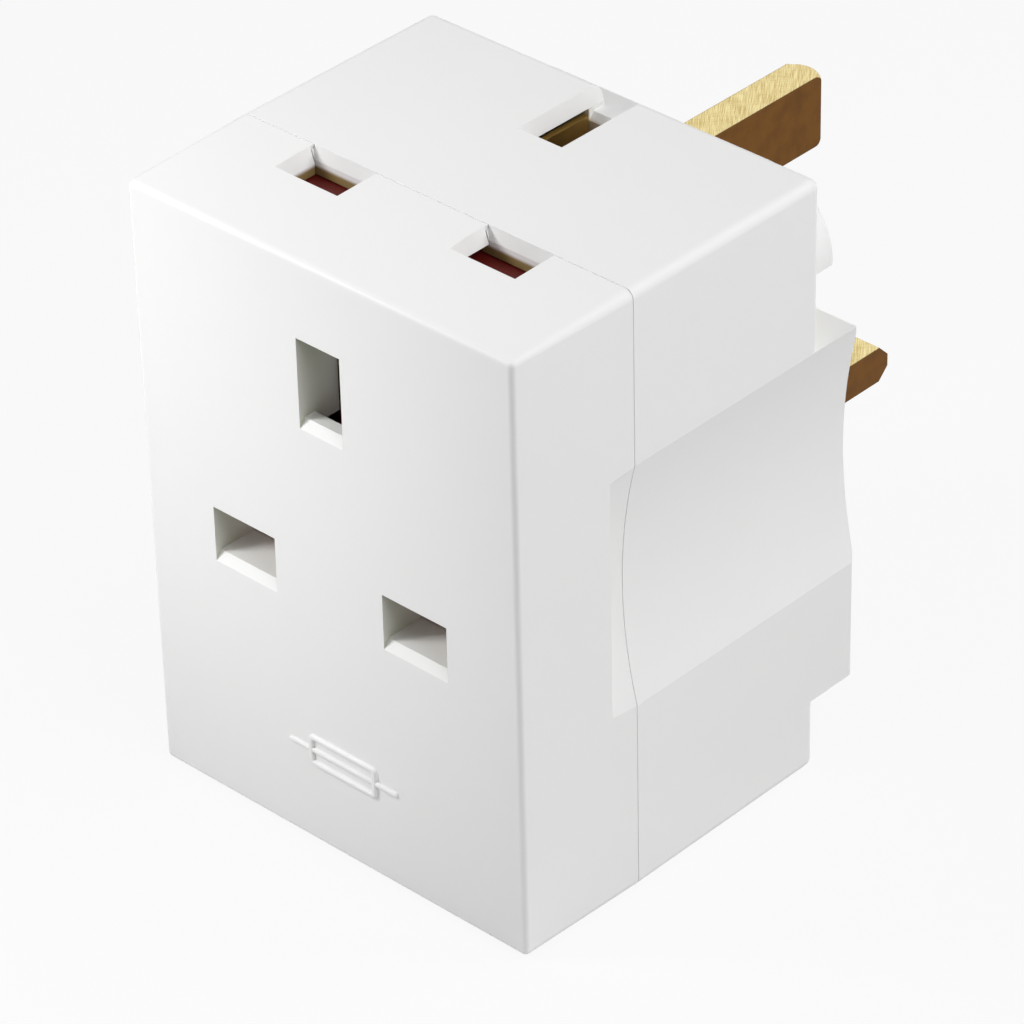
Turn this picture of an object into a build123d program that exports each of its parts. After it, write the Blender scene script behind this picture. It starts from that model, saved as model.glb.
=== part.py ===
"""Plug-in fused adapter with sockets on its front, top and bottom.

The origin is on the plug face, midway between the line and neutral pins. X runs to the right as seen from
the front, Y runs back towards the wall and Z runs up. All sizes are in millimetres.
"""

import os
from math import atan, degrees
from typing import NamedTuple

from build123d import *

# Pin pattern of the plug and of every socket
pin_pitch = 22.23
earth_pin_length = 22.3
earth_pin_width = 3.95
earth_pin_height = 7.9
earth_tip_bow = 0.9
earth_tip_round = 0.75
line_pin_length = 17.4
line_pin_width = 6.35
line_pin_thickness = 3.95
line_tip_bevel = 1.3
sleeve_length = 9.2
sleeve_root = 3.0
sleeve_wall = 0.5

# Box made of a front cover and a rear body
body_width = 49.4
top_margin = 13.57
base_margin = 31.4
rear_depth = 26.0
cover_depth = 15.6
cover_draft = 0.4
side_wall = 3.4
top_wall = 1.7
front_wall = 2.0
rear_wall = 2.2
long_edge_radius = 1.0
front_edge_radius = 0.6
rear_edge_radius = 1.0
rim_groove_width = 0.14
rim_groove_depth = 0.1
lip_length = 1.6
lip_thickness = 1.1
lip_root = 3.0
lip_clearance = 0.1

# Plug platform and earth boss behind the box
plug_step = 5.8
platform_bottom_z = -24.0
platform_top_z = 16.6
platform_edge_radius = 0.6
neck_width = 30.0
neck_radius = 1.5
boss_width = 43.4
boss_bottom_z = 22.2
boss_top_z = 30.6
boss_corner_radius = 8.2

# Scooped grips on both sides
grip_height = 27.0
grip_depth = 1.7
grip_centre_z = 3.0
grip_cover_run = 3.4

# Socket slots
front_line_z = -0.6
line_slot_play = 0.38
earth_slot_play = 0.25
lead_in = 0.55
low_lead_in = 0.95
front_lead_depth = 0.7
collar_wall = 1.2
earth_rib_drop = 1.4
tongue_clearance = 0.12
tongue_skirt = 1.0
tongue_root = 1.5
earth_lip_drop = 2.25
earth_lip_bevel = 1.0

# Shutters, their guides and springs
shutter_gap = 0.15
front_shutter_depth = 5.35
top_shutter_depth = 3.0
shutter_thickness = 1.6
shutter_cover = 0.65
shutter_travel = 5.8
stem_width = 6.0
finger_width = 3.0
finger_end = 1.2
rail_thickness = 1.2
rail_lip = 1.0
rail_length = 11.8
spring_thickness = 0.4
spring_width = 1.4
spring_span = 16.0
spring_ledge_drop = 9.6
spring_ledge_height = 1.4

# Contact bars and jaws
strip = 0.7
bend_radius = 1.0
jaw_width = 6.4
jaw_depth = 18.6
jaw_mouth = 7.4
bar_gap = 3.0
crossing_height = 3.5
earth_jaw_height = 7.2
earth_jaw_length = 14.0
earth_tab_mouth = 2.3
earth_tab_setback = 0.5
clasp_length = 3.6
clasp_height = 6.4
clasp_clearance = 0.25

# Fuse, clips and carrier
fuse_z = 8.2
fuse_inset = 6.4
fuse_length = 25.4
fuse_diameter = 6.35
fuse_cap_length = 5.8
fuse_cap_wall = 0.3
clip_width = 4.5
clip_clearance = 0.1
clip_back = 1.2
clip_reach = 2.8
bridge_height = 5.0
bridge_setback = 5.0
fuse_end_clearance = 0.4
carrier_height = 9.2
carrier_plate = 1.4
carrier_clearance = 0.2
cheek_thickness = 1.7
cradle_length = 10.0
cradle_clearance = 0.1
pry_slot_length = 8.0
pry_slot_width = 1.2
pry_slot_depth = 0.7

# Screws and their posts
screw_low_z = -27.6
screw_diameter = 2.5
screw_head_diameter = 4.5
screw_head_height = 1.8
screw_grip = 7.6
screw_bite = 8.0
screw_clearance = 0.3
post_diameter = 6.2
post_clearance = 0.58

# Places that follow from the sizes above
half_pitch = pin_pitch / 2
half_width = body_width / 2
rear_y = -plug_step
split_y = rear_y - rear_depth
front_y = split_y - cover_depth
top_z = front_line_z + pin_pitch + top_margin
floor_z = front_line_z - base_margin
body_height = top_z - floor_z
middle_z = (top_z + floor_z) / 2
cavity_rear_y = rear_y - rear_wall
line_slot = (line_pin_width + 2 * line_slot_play, line_pin_thickness + 2 * line_slot_play)
earth_slot = (earth_pin_width + 2 * earth_slot_play, earth_pin_height + 2 * earth_slot_play)
socket_y = split_y - lead_in - line_slot[1] / 2
earth_socket_y = socket_y + pin_pitch
cover_taper = degrees(atan(cover_draft / cover_depth))
line_spine_y = front_y + jaw_depth + strip / 2
neutral_spine_y = line_spine_y + strip + bar_gap
earth_spine_y = neutral_spine_y + strip + bar_gap
carrier_width = fuse_length + 2 * (fuse_end_clearance + cheek_thickness)
fuse_y = -fuse_inset
clip_back_y = fuse_y - fuse_diameter / 2 - clip_back - strip / 2
pin_tail_y = clip_back_y + strip / 2
shutter_half_width = half_pitch + line_slot[0] / 2 + shutter_cover
shutter_half_height = line_slot[1] / 2 + shutter_cover
screw_x = shutter_half_width + post_clearance + post_diameter / 2
screw_high_z = (platform_top_z + boss_bottom_z) / 2
screw_places = [(x, z) for x in (-screw_x, screw_x) for z in (screw_low_z, screw_high_z)]
screw_seat_y = split_y + screw_grip


class Socket(NamedTuple):
    """One socket. Its face has local X to the line side, local Y to the earth slot and local Z outwards."""

    face: Plane
    wall: float
    lead_depth: float
    side_lead: float
    line_low_lead: float
    earth_low_lead: float
    shutter_depth: float

    @property
    def slack(self):
        """Width that slots with straight sides gain on each side over those with a lead-in."""
        return lead_in - self.side_lead


top_face = Plane((0, socket_y, top_z), x_dir=(1, 0, 0), z_dir=(0, 0, 1))
bottom_face = Plane((0, socket_y, floor_z), x_dir=(-1, 0, 0), z_dir=(0, 0, -1))
front_face = Plane((0, front_y, front_line_z), x_dir=(1, 0, 0), z_dir=(0, -1, 0))
front_socket = Socket(
    front_face, front_wall, front_lead_depth, 0, low_lead_in, low_lead_in, front_shutter_depth
)
top_socket = Socket(top_face, top_wall, top_wall, lead_in, 0, lead_in, top_shutter_depth)
bottom_socket = Socket(bottom_face, top_wall, top_wall, lead_in, 0, lead_in, top_shutter_depth)
sockets = {"front": front_socket, "top": top_socket, "bottom": bottom_socket}


def facing_front(y):
    """Plane across the box at a depth, looking out of its front."""
    return Plane((0, y, 0), x_dir=(1, 0, 0), z_dir=(0, -1, 0))


def facing_wall(y):
    """Plane across the box at a depth, looking out of its back."""
    return Plane((0, y, 0), x_dir=(-1, 0, 0), z_dir=(0, 1, 0))


def span(x0, x1, y0, y1):
    """Rectangle between two limits each way, in the sketch that is open."""
    with Locations(((x0 + x1) / 2, (y0 + y1) / 2)):
        Rectangle(abs(x1 - x0), abs(y1 - y0))


def folded_strip(*points):
    """Section of a folded strip along a centre line, in the sketch that is open."""
    with BuildLine() as centre_line:
        if len(points) > 2:
            FilletPolyline(*points, radius=bend_radius)
        else:
            Line(*points)
    trace(centre_line.line, line_width=strip)


def box_section(inset_x=0.0, inset_z=0.0, radius=long_edge_radius):
    """Rounded outline of the box, or a smaller one inside it, in the sketch that is open."""
    with Locations((0, middle_z)):
        RectangleRounded(body_width - 2 * inset_x, body_height - 2 * inset_z, radius)


def slot_core(socket):
    """Space of a socket's three slots down to its shutter, widened outwards by the lead-ins."""
    slots = [
        (-half_pitch, 0, line_slot, socket.line_low_lead),
        (half_pitch, 0, line_slot, socket.line_low_lead),
        (0, pin_pitch, earth_slot, socket.earth_low_lead),
    ]
    throat = socket.face.offset(-socket.lead_depth)
    with BuildPart() as core:
        for x, y, (width, height), low_lead in slots:
            left, right = x - width / 2, x + width / 2
            low, high = y - height / 2, y + height / 2
            with BuildSketch(socket.face):
                span(left - lead_in, right + lead_in, low - low_lead, high + lead_in)
            throat_limits = (left - socket.slack, right + socket.slack, low, high + socket.slack)
            with BuildSketch(throat):
                span(*throat_limits)
            loft()
            with BuildSketch(throat):
                span(*throat_limits)
            extrude(amount=socket.lead_depth - socket.shutter_depth)
    return core.part


def slot_collars(socket):
    """Walls that carry a socket's slots on behind its wall, open below the earth slot."""
    collar_reach = collar_wall + socket.slack
    earth_half = earth_slot[0] / 2 + socket.slack
    earth_reach = earth_half + collar_wall
    earth_top = pin_pitch + earth_slot[1] / 2 + socket.slack
    earth_foot = pin_pitch - earth_slot[1] / 2 - earth_rib_drop
    with BuildPart() as collars:
        with BuildSketch(socket.face.offset(-socket.wall)):
            with Locations((-half_pitch, 0), (half_pitch, 0)):
                Rectangle(line_slot[0] + 2 * collar_reach, line_slot[1] + 2 * collar_reach)
            span(-earth_reach, earth_reach, earth_foot, earth_top + collar_wall)
            with Locations((0, (earth_foot + earth_top) / 2)):
                Rectangle(2 * earth_half, earth_top - earth_foot, mode=Mode.SUBTRACT)
        extrude(amount=socket.wall - socket.shutter_depth + shutter_gap)
    return collars.part


def notch_blocks(socket, clearance):
    """Blocks behind a socket's line and neutral slots, up to the split between the two mouldings."""
    reach = half_pitch + line_slot[0] / 2 + lead_in - clearance
    inner = half_pitch - line_slot[0] / 2 - lead_in + clearance
    with BuildPart() as blocks:
        with BuildSketch(socket.face):
            for side in (-1, 1):
                span(side * inner, side * reach, line_slot[1] / 2 + clearance, line_slot[1] / 2 + lead_in)
        extrude(amount=-socket.wall)
    return blocks.part


def tongue_skirts(socket):
    """Ribs of the rear moulding that close its notches further in, down to the shutter."""
    skirt_reach = line_slot[0] / 2 + tongue_skirt
    skirt_front = line_slot[1] / 2 + tongue_clearance
    skirt_back = line_slot[1] / 2 + lead_in + tongue_root
    with BuildPart() as skirts:
        with BuildSketch(socket.face.offset(-socket.wall - tongue_clearance)):
            for x in (-half_pitch, half_pitch):
                span(x - skirt_reach, x + skirt_reach, skirt_front, skirt_back)
        extrude(amount=socket.wall + tongue_clearance + shutter_gap - socket.shutter_depth)
        with BuildSketch(socket.face.offset(-socket.wall)):
            for x in (-half_pitch, half_pitch):
                span(x - line_slot[0] / 2, x + line_slot[0] / 2, skirt_front, skirt_back)
        extrude(amount=-tongue_clearance)
    return skirts.part


def earth_lip(socket):
    """Space over the lowered wall behind an earth slot, with the lead-in run on to the back of the box."""
    face = socket.face
    half_slot = earth_slot[0] / 2
    slot_end = pin_pitch + earth_slot[1] / 2
    across = Plane(face.origin + face.y_dir * pin_pitch, x_dir=face.x_dir, z_dir=face.y_dir)
    along = Plane(face.origin, x_dir=face.y_dir, z_dir=face.x_dir)
    with BuildPart() as lip:
        with BuildSketch(across):
            with BuildLine():
                Polyline(
                    (-half_slot - lead_in, 0),
                    (-half_slot, socket.lead_depth),
                    (-half_slot, earth_lip_drop),
                    (half_slot, earth_lip_drop),
                    (half_slot, socket.lead_depth),
                    (half_slot + lead_in, 0),
                    close=True,
                )
            make_face()
        extrude(amount=-earth_socket_y)
        with BuildSketch(along):
            with BuildLine():
                Polyline(
                    (slot_end, -earth_lip_drop),
                    (slot_end, -earth_lip_drop - earth_lip_bevel),
                    (slot_end + earth_lip_bevel, -earth_lip_drop),
                    close=True,
                )
            make_face()
        extrude(amount=half_slot, both=True)
    return lip.part


def grip_scoops(y0, y1, deeper=0.0):
    """Two shallow cylinders that scoop the grips out of the sides, or a groove round them further in."""
    radius = ((grip_height / 2) ** 2 + grip_depth**2) / (2 * grip_depth)
    with BuildPart() as scoops:
        with BuildSketch(facing_wall(y0)):
            reach = half_width - grip_depth - deeper + radius
            with Locations((-reach, grip_centre_z), (reach, grip_centre_z)):
                Circle(radius)
        extrude(amount=y1 - y0)
    return scoops.part


slot_cores = {name: slot_core(socket) for name, socket in sockets.items()}


def shutter_rails(socket):
    """Pair of hooked rails that carry a shutter's blade, with a spacer beside the outer end of each slot."""
    face = socket.face
    lip_depth = socket.shutter_depth + shutter_thickness + shutter_gap
    slot_end = half_pitch + line_slot[0] / 2
    inner = shutter_half_width + shutter_gap
    outer = inner + rail_thickness
    high = line_slot[1] / 2
    low = high - rail_length
    with BuildPart() as rails:
        with BuildSketch(face.offset(-socket.wall)):
            for side in (-1, 1):
                span(side * slot_end, side * outer, low, high)
        extrude(amount=socket.wall + shutter_gap - socket.shutter_depth)
        with BuildSketch(face.offset(-socket.wall)):
            for side in (-1, 1):
                span(side * inner, side * outer, low, high)
        extrude(amount=socket.wall - lip_depth - rail_thickness)
        with BuildSketch(face.offset(-lip_depth)):
            for side in (-1, 1):
                span(side * (inner - rail_lip), side * outer, low, high)
        extrude(amount=-rail_thickness)
    return rails.part


def screw_posts(y0, y1):
    """Four round posts for the assembly screws."""
    with BuildPart() as posts:
        with BuildSketch(facing_wall(y0)):
            with Locations(*screw_places):
                Circle(post_diameter / 2)
        extrude(amount=y1 - y0)
    return posts.part


# Front cover: drafted shell with the front slots and notches for those of the top and bottom
with BuildPart() as front_cover:
    with BuildSketch(facing_front(split_y - rim_groove_width)):
        box_section()
    extrude(amount=cover_depth - rim_groove_width, taper=cover_taper)
    fillet(front_cover.faces().sort_by(Axis.Y)[0].edges(), radius=front_edge_radius)
    with BuildSketch(facing_front(split_y)):
        box_section(rim_groove_depth, rim_groove_depth)
    extrude(amount=rim_groove_width)
    with BuildSketch(facing_front(split_y)):
        box_section(side_wall, top_wall, long_edge_radius)
    extrude(amount=cover_depth - front_wall, mode=Mode.SUBTRACT)
    cavity_front_y = front_y + front_wall
    add(screw_posts(cavity_front_y, split_y))
    with BuildSketch(facing_front(split_y)):
        with Locations(*screw_places):
            Circle(screw_diameter / 2)
    extrude(amount=screw_bite, mode=Mode.SUBTRACT)
    for socket in sockets.values():
        add(shutter_rails(socket))
    add(slot_collars(front_socket))
    ledge_top = front_line_z - shutter_half_height - spring_ledge_drop
    with BuildSketch(facing_wall(cavity_front_y)):
        span(-spring_span / 2, spring_span / 2, ledge_top - spring_ledge_height, ledge_top)
    extrude(amount=front_shutter_depth + shutter_thickness - front_wall)
    for core in slot_cores.values():
        add(core, mode=Mode.SUBTRACT)
    for socket in (top_socket, bottom_socket):
        add(notch_blocks(socket, 0), mode=Mode.SUBTRACT)
    add(grip_scoops(split_y - grip_cover_run, split_y), mode=Mode.SUBTRACT)
    add(grip_scoops(split_y - rim_groove_width, split_y, rim_groove_depth), mode=Mode.SUBTRACT)
front_cover.part.label = "front_cover"

# Rear body: straight shell with the plug platform, the earth boss and the fuse pocket
with BuildPart() as rear_body:
    with BuildSketch(facing_wall(split_y)):
        box_section()
    extrude(amount=rear_depth)
    fillet(rear_body.faces().sort_by(Axis.Y)[-1].edges(), radius=rear_edge_radius)
    with BuildSketch(facing_wall(cavity_rear_y)) as platform_outline:
        span(-half_width, half_width, platform_bottom_z, platform_top_z)
        span(-neck_width / 2, neck_width / 2, platform_top_z, boss_top_z)
        span(-boss_width / 2, boss_width / 2, boss_bottom_z, boss_top_z)
        rows = platform_outline.vertices().group_by(Axis.Y)
        fillet(rows[-1], boss_corner_radius)
        rows = platform_outline.vertices().group_by(Axis.Y)
        fillet(rows[1].sort_by(Axis.X)[1:3] + rows[2].sort_by(Axis.X)[1:3], neck_radius)
    extrude(amount=-cavity_rear_y)
    fillet(rear_body.faces().sort_by(Axis.Y)[-1].edges(), radius=platform_edge_radius)
    with BuildSketch(facing_wall(split_y)):
        box_section(side_wall, top_wall, long_edge_radius)
    extrude(amount=cavity_rear_y - split_y, mode=Mode.SUBTRACT)
    add(screw_posts(split_y, cavity_rear_y))
    with BuildSketch(facing_wall(split_y)):
        with Locations(*screw_places):
            Circle(screw_diameter / 2 + screw_clearance)
    extrude(amount=rear_depth, mode=Mode.SUBTRACT)
    with BuildSketch(facing_wall(screw_seat_y)):
        with Locations(*screw_places):
            Circle(screw_head_diameter / 2 + screw_clearance)
    extrude(amount=rear_y - screw_seat_y, mode=Mode.SUBTRACT)
    lip_x = half_width - side_wall
    with BuildSketch(facing_wall(split_y - lip_length)):
        for side in (-1, 1):
            span(side * (lip_x - lip_clearance - lip_thickness), side * (lip_x - lip_clearance),
                 grip_centre_z - grip_height / 2, grip_centre_z + grip_height / 2)
    extrude(amount=lip_length + lip_root)
    with BuildSketch(facing_wall(split_y)):
        for side in (-1, 1):
            span(side * (lip_x - lip_clearance - lip_thickness), side * lip_x,
                 grip_centre_z - grip_height / 2, grip_centre_z + grip_height / 2)
    extrude(amount=lip_root)
    for socket in (top_socket, bottom_socket):
        add(notch_blocks(socket, tongue_clearance))
        add(tongue_skirts(socket))
    for name in ("top", "bottom"):
        add(slot_cores[name], mode=Mode.SUBTRACT)
        add(earth_lip(sockets[name]), mode=Mode.SUBTRACT)
    with BuildSketch(facing_wall(cavity_rear_y)):
        for x in (-half_pitch, half_pitch):
            with Locations((x, 0)):
                Rectangle(line_pin_width, line_pin_thickness)
        span(-earth_pin_width / 2, earth_pin_width / 2, pin_pitch - earth_pin_height / 2,
             pin_pitch + earth_pin_height / 2)
        span(-carrier_width / 2 - carrier_clearance, carrier_width / 2 + carrier_clearance,
             fuse_z - carrier_height / 2 - carrier_clearance, fuse_z + carrier_height / 2 + carrier_clearance)
    extrude(amount=-cavity_rear_y, mode=Mode.SUBTRACT)
    with BuildSketch(facing_wall(cavity_rear_y)):
        with Locations((0, pin_pitch)):
            Rectangle(earth_pin_width + 2 * strip + 2 * clasp_clearance, clasp_height + 2 * clasp_clearance)
    extrude(amount=clasp_length + clasp_clearance, mode=Mode.SUBTRACT)
    add(grip_scoops(split_y, 0), mode=Mode.SUBTRACT)
rear_body.part.label = "rear_body"

# Earth pin: flat bar with a tip bowed in plan, its two curved edges rounded off
with BuildPart() as earth_pin:
    root_y = cavity_rear_y + clasp_clearance
    shoulder_y = earth_pin_length - earth_tip_bow
    with BuildSketch(Plane.XY.offset(pin_pitch)):
        with BuildLine():
            Polyline(
                (earth_pin_width / 2, shoulder_y),
                (earth_pin_width / 2, root_y),
                (-earth_pin_width / 2, root_y),
                (-earth_pin_width / 2, shoulder_y),
            )
            ThreePointArc(
                (-earth_pin_width / 2, shoulder_y), (0, earth_pin_length), (earth_pin_width / 2, shoulder_y)
            )
        make_face()
    extrude(amount=earth_pin_height / 2, both=True)
    fillet(earth_pin.edges().filter_by(GeomType.CIRCLE), radius=earth_tip_round)
earth_pin.part.label = "earth_pin"


def flat_pin(x):
    """Line or neutral pin with a bevelled tip and a neck for its sleeve."""
    with BuildPart() as pin:
        with BuildSketch(Plane.YZ.offset(x)):
            span(pin_tail_y, line_pin_length, -line_pin_thickness / 2, line_pin_thickness / 2)
        extrude(amount=line_pin_width / 2, both=True)
        tip = pin.faces().sort_by(Axis.Y)[-1]
        chamfer(tip.edges().filter_by(Axis.X), length=line_tip_bevel)
        with BuildSketch(facing_wall(-sleeve_root)):
            with Locations((-x, 0)):
                Rectangle(line_pin_width, line_pin_thickness)
                Rectangle(line_pin_width - 2 * sleeve_wall, line_pin_thickness - 2 * sleeve_wall,
                          mode=Mode.SUBTRACT)
        extrude(amount=sleeve_root + sleeve_length, mode=Mode.SUBTRACT)
    return pin.part


def pin_sleeve(x):
    """Insulating sleeve flush with the sides of a line or neutral pin."""
    with BuildPart() as sleeve:
        with BuildSketch(facing_wall(-sleeve_root)):
            with Locations((-x, 0)):
                Rectangle(line_pin_width, line_pin_thickness)
                Rectangle(line_pin_width - 2 * sleeve_wall, line_pin_thickness - 2 * sleeve_wall,
                          mode=Mode.SUBTRACT)
        extrude(amount=sleeve_root + sleeve_length)
    return sleeve.part


def shutter(socket):
    """Slide with a blade across the line and neutral slots and a bent finger behind the earth slot."""
    face = socket.face
    near = -socket.shutter_depth
    far = near - shutter_thickness
    finger_root = pin_pitch - earth_pin_height / 2
    finger_tip = finger_root + shutter_travel
    side_plane = Plane(face.origin, x_dir=face.y_dir, z_dir=face.x_dir)
    with BuildPart() as slide:
        with BuildSketch(face.offset(near)):
            span(-shutter_half_width, shutter_half_width, -shutter_half_height, shutter_half_height)
            span(-stem_width / 2, stem_width / 2, shutter_half_height, finger_root)
        extrude(amount=-shutter_thickness)
        with BuildSketch(side_plane):
            with BuildLine():
                Polyline(
                    (finger_root, near),
                    (finger_tip, near - shutter_travel),
                    (finger_tip, near - shutter_travel - finger_end),
                    (finger_root, far),
                    close=True,
                )
            make_face()
        extrude(amount=finger_width / 2, both=True)
    return slide.part


def bow_spring(socket, seat):
    """Bowed leaf between a seat, given along the face, and the near edge of a shutter's blade."""
    crown = -shutter_half_height
    depth = socket.shutter_depth + (shutter_thickness - spring_width) / 2
    with BuildPart() as leaf:
        with BuildSketch(socket.face.offset(-depth)):
            with BuildLine():
                ThreePointArc(
                    (-spring_span / 2 + strip, seat + spring_thickness / 2),
                    (0, crown - spring_thickness / 2),
                    (spring_span / 2 - strip, seat + spring_thickness / 2),
                )
            trace(line_width=spring_thickness)
        extrude(amount=-spring_width)
    return leaf.part


def live_bar(side, spine_y):
    """Strip with jaws for the front and top sockets on one side and for the bottom socket on the other."""
    leaf = line_pin_thickness / 2 + strip / 2
    mouth_y = front_y + jaw_mouth
    shelf_z = top_z - jaw_depth - strip / 2
    low_shelf_z = floor_z + jaw_depth + strip / 2
    crossing_top = front_line_z - leaf - strip / 2 - bar_gap
    crossing_bottom = crossing_top - crossing_height
    with BuildPart() as bar:
        with BuildSketch(Plane.YZ.offset(side * half_pitch)):
            folded_strip(
                (socket_y - leaf, top_z - jaw_mouth),
                (socket_y - leaf, shelf_z),
                (spine_y, shelf_z),
                (spine_y, front_line_z + leaf),
                (mouth_y, front_line_z + leaf),
            )
            folded_strip((socket_y + leaf, top_z - jaw_mouth), (socket_y + leaf, shelf_z))
            folded_strip(
                (mouth_y, front_line_z - leaf), (spine_y, front_line_z - leaf), (spine_y, crossing_bottom)
            )
            folded_strip((spine_y, front_line_z - leaf), (spine_y, front_line_z + leaf + bend_radius))
        extrude(amount=jaw_width / 2, both=True)
        with BuildSketch(Plane.YZ.offset(-side * half_pitch)):
            folded_strip(
                (socket_y - leaf, floor_z + jaw_mouth),
                (socket_y - leaf, low_shelf_z),
                (spine_y, low_shelf_z),
                (spine_y, crossing_top),
            )
            folded_strip((socket_y + leaf, floor_z + jaw_mouth), (socket_y + leaf, low_shelf_z))
        extrude(amount=jaw_width / 2, both=True)
        with BuildSketch(facing_wall(spine_y - strip / 2)):
            reach = half_pitch + jaw_width / 2
            span(-reach, reach, crossing_bottom, crossing_top)
        extrude(amount=strip)
    return bar.part


def fuse_clip(side):
    """Channel that grips one end cap of the fuse from the inside of the box."""
    grip_z = fuse_diameter / 2 + clip_clearance + strip / 2
    centre_x = side * (fuse_length / 2 - clip_width / 2)
    with BuildPart() as clip:
        with BuildSketch(Plane.YZ.offset(centre_x)):
            folded_strip(
                (fuse_y + clip_reach, fuse_z + grip_z),
                (clip_back_y, fuse_z + grip_z),
                (clip_back_y, fuse_z - grip_z),
                (fuse_y + clip_reach, fuse_z - grip_z),
            )
        extrude(amount=clip_width / 2, both=True)
    return clip.part


# Line and neutral pins with their sleeves
pins = {"line": half_pitch, "neutral": -half_pitch}
flat_pins = {name: flat_pin(x) for name, x in pins.items()}
sleeves = {name: pin_sleeve(x) for name, x in pins.items()}

# Shutters and their springs
shutters = {name: shutter(socket) for name, socket in sockets.items()}
cover_wall_edge = cavity_front_y - socket_y
springs = {
    "front": bow_spring(front_socket, ledge_top - front_line_z),
    "top": bow_spring(top_socket, cover_wall_edge),
    "bottom": bow_spring(bottom_socket, cover_wall_edge),
}

# Line bar
with BuildPart() as line_bar:
    add(live_bar(1, line_spine_y))
line_bar.part.label = "line_bar"

# Neutral bar, with a tongue that lies on the tail of the neutral pin
with BuildPart() as neutral_bar:
    add(live_bar(-1, neutral_spine_y))
    with BuildSketch(Plane.YZ.offset(-half_pitch)):
        tongue_z = line_pin_thickness / 2 + strip / 2
        folded_strip((neutral_spine_y, tongue_z), (cavity_rear_y - clasp_clearance, tongue_z))
    extrude(amount=jaw_width / 2, both=True)
neutral_bar.part.label = "neutral_bar"

# Earth bar: spine with pairs of flanges that make the three jaws and clasp the earth pin
with BuildPart() as earth_bar:
    top_jaw_z = top_z - jaw_mouth
    low_jaw_z = floor_z + jaw_mouth
    jaw_rear_y = cavity_rear_y - clasp_clearance
    with BuildSketch(facing_wall(earth_spine_y - strip / 2)):
        span(-earth_pin_width / 2 - strip, earth_pin_width / 2 + strip, low_jaw_z, top_jaw_z)
    extrude(amount=strip)
    with BuildSketch(Plane.YZ.offset(earth_pin_width / 2)):
        front_jaw_z = front_line_z + pin_pitch
        span(earth_spine_y - earth_jaw_length, earth_spine_y, front_jaw_z - earth_jaw_height / 2,
             front_jaw_z + earth_jaw_height / 2)
        span(earth_spine_y, jaw_rear_y, top_z - jaw_depth, top_jaw_z)
        span(earth_spine_y, jaw_rear_y, low_jaw_z, floor_z + jaw_depth)
        tab_y = earth_socket_y - earth_pin_height / 2 + earth_tab_setback
        span(tab_y, jaw_rear_y, top_jaw_z, top_z - earth_tab_mouth)
        span(tab_y, jaw_rear_y, floor_z + earth_tab_mouth, low_jaw_z)
        span(earth_spine_y, cavity_rear_y + clasp_length, pin_pitch - clasp_height / 2,
             pin_pitch + clasp_height / 2)
    extrude(amount=strip)
    mirror(about=Plane.YZ)
earth_bar.part.label = "earth_bar"

# Line fuse clip, hung on the tail of the line pin
with BuildPart() as line_fuse_clip:
    add(fuse_clip(1))
    with BuildSketch(facing_wall(clip_back_y - strip / 2)):
        outer = fuse_length / 2
        span(-outer, clip_width - outer, -line_pin_thickness / 2, fuse_z)
    extrude(amount=strip)
line_fuse_clip.part.label = "line_fuse_clip"

# Load fuse clip, with a bridge that runs round behind the earth bar to the spine of the line bar
with BuildPart() as load_fuse_clip:
    add(fuse_clip(-1))
    bridge_y = clip_back_y - bridge_setback
    bridge_end = fuse_length / 2 - strip / 2
    lap_y = line_spine_y + strip
    with BuildSketch(Plane.XY.offset(fuse_z - bridge_height / 2)):
        folded_strip(
            (-bridge_end + clip_width / 2, clip_back_y),
            (-bridge_end, clip_back_y),
            (-bridge_end, bridge_y),
            (bridge_end, bridge_y),
            (bridge_end, lap_y),
            (bridge_end - clip_width, lap_y),
        )
    extrude(amount=bridge_height)
load_fuse_clip.part.label = "load_fuse_clip"

# Cartridge fuse
with BuildPart() as fuse_barrel:
    with BuildSketch(Plane.YZ.offset(-fuse_length / 2 + fuse_cap_wall)):
        with Locations((fuse_y, fuse_z)):
            Circle(fuse_diameter / 2 - fuse_cap_wall)
    extrude(amount=fuse_length - 2 * fuse_cap_wall)
fuse_barrel.part.label = "fuse_barrel"

with BuildPart() as fuse_end_caps:
    with BuildSketch(Plane.YZ.offset(fuse_length / 2)):
        with Locations((fuse_y, fuse_z)):
            Circle(fuse_diameter / 2)
    extrude(amount=-fuse_cap_length)
    with BuildSketch(Plane.YZ.offset(fuse_length / 2 - fuse_cap_wall)):
        with Locations((fuse_y, fuse_z)):
            Circle(fuse_diameter / 2 - fuse_cap_wall)
    extrude(amount=fuse_cap_wall - fuse_cap_length, mode=Mode.SUBTRACT)
    mirror(about=Plane.YZ)
fuse_end_caps.part.label = "fuse_end_caps"

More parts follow.
